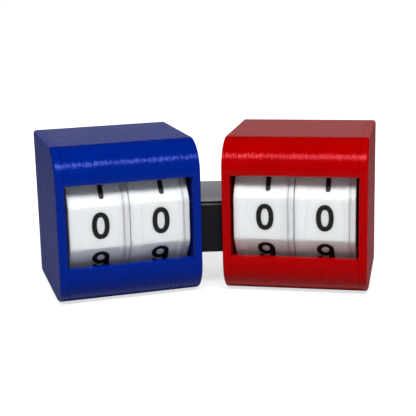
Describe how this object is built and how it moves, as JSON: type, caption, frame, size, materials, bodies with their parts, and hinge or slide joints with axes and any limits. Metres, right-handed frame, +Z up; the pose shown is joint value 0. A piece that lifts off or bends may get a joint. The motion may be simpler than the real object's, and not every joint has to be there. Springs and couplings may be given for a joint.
{
  "type": "tabletop flip scoreboard",
  "caption": "Tabletop score counter: linked boxes with windows, in which numbered drum wheels turn on fixed axles and click from digit to digit.",
  "frame": {"origin": "middle of the bounding box at the table surface", "axes": "+X along the set to the red box as read from the front, +Y to the back, +Z up"},
  "size_m": [0.1298, 0.0618, 0.055],
  "materials": {
    "blue_shell": "satin printed plastic with fine layer lines",
    "blue_cap": "grained by the print bed",
    "red_shell": "satin printed plastic with fine layer lines",
    "red_cap": "grained by the print bed",
    "white_wheel": "satin printed plastic",
    "black_digit": "inlaid printed plastic",
    "black_link": "satin printed plastic",
    "inner_print": "printed plastic",
    "screw_steel": "zinc plated"
  },
  "bodies": {
    "set": {"blue_housing": "blue_shell", "blue_end_cap": "blue_cap", "blue_axle": "inner_print", "blue_washer": "inner_print", "blue_tens_click_spring": "inner_print", "blue_units_click_spring": "inner_print", "red_housing": "red_shell", "red_end_cap": "red_cap", "red_axle": "inner_print", "red_washer": "inner_print", "red_tens_click_spring": "inner_print", "red_units_click_spring": "inner_print", "link_block": "black_link", "link_screws": "screw_steel"},
    "blue_tens": {"blue_tens_wheel": "white_wheel", "blue_tens_cover": "white_wheel"},
    "blue_units": {"blue_units_wheel": "white_wheel", "blue_units_cover": "white_wheel"},
    "red_tens": {"red_tens_wheel": "white_wheel", "red_tens_cover": "white_wheel"},
    "red_units": {"red_units_wheel": "white_wheel", "red_units_cover": "white_wheel"}
  },
  "joints": [
    {"name": "blue_tens_turn", "type": "hinge", "parent": "set", "child": "blue_tens", "pos_m": [-0.0339, -0.00126, 0.0275], "axis": [0.9703, 0.2419, 0], "continuous": true, "deforming": ["blue_tens_click_spring"]},
    {"name": "blue_units_turn", "type": "hinge", "parent": "set", "child": "blue_units", "pos_m": [-0.0339, -0.00126, 0.0275], "axis": [0.9703, 0.2419, 0], "continuous": true, "deforming": ["blue_units_click_spring"]},
    {"name": "red_tens_turn", "type": "hinge", "parent": "set", "child": "red_tens", "pos_m": [0.0339, -0.00126, 0.0275], "axis": [0.9703, -0.2419, 0], "continuous": true, "deforming": ["red_tens_click_spring"]},
    {"name": "red_units_turn", "type": "hinge", "parent": "set", "child": "red_units", "pos_m": [0.0339, -0.00126, 0.0275], "axis": [0.9703, -0.2419, 0], "continuous": true, "deforming": ["red_units_click_spring"]}
  ]
}
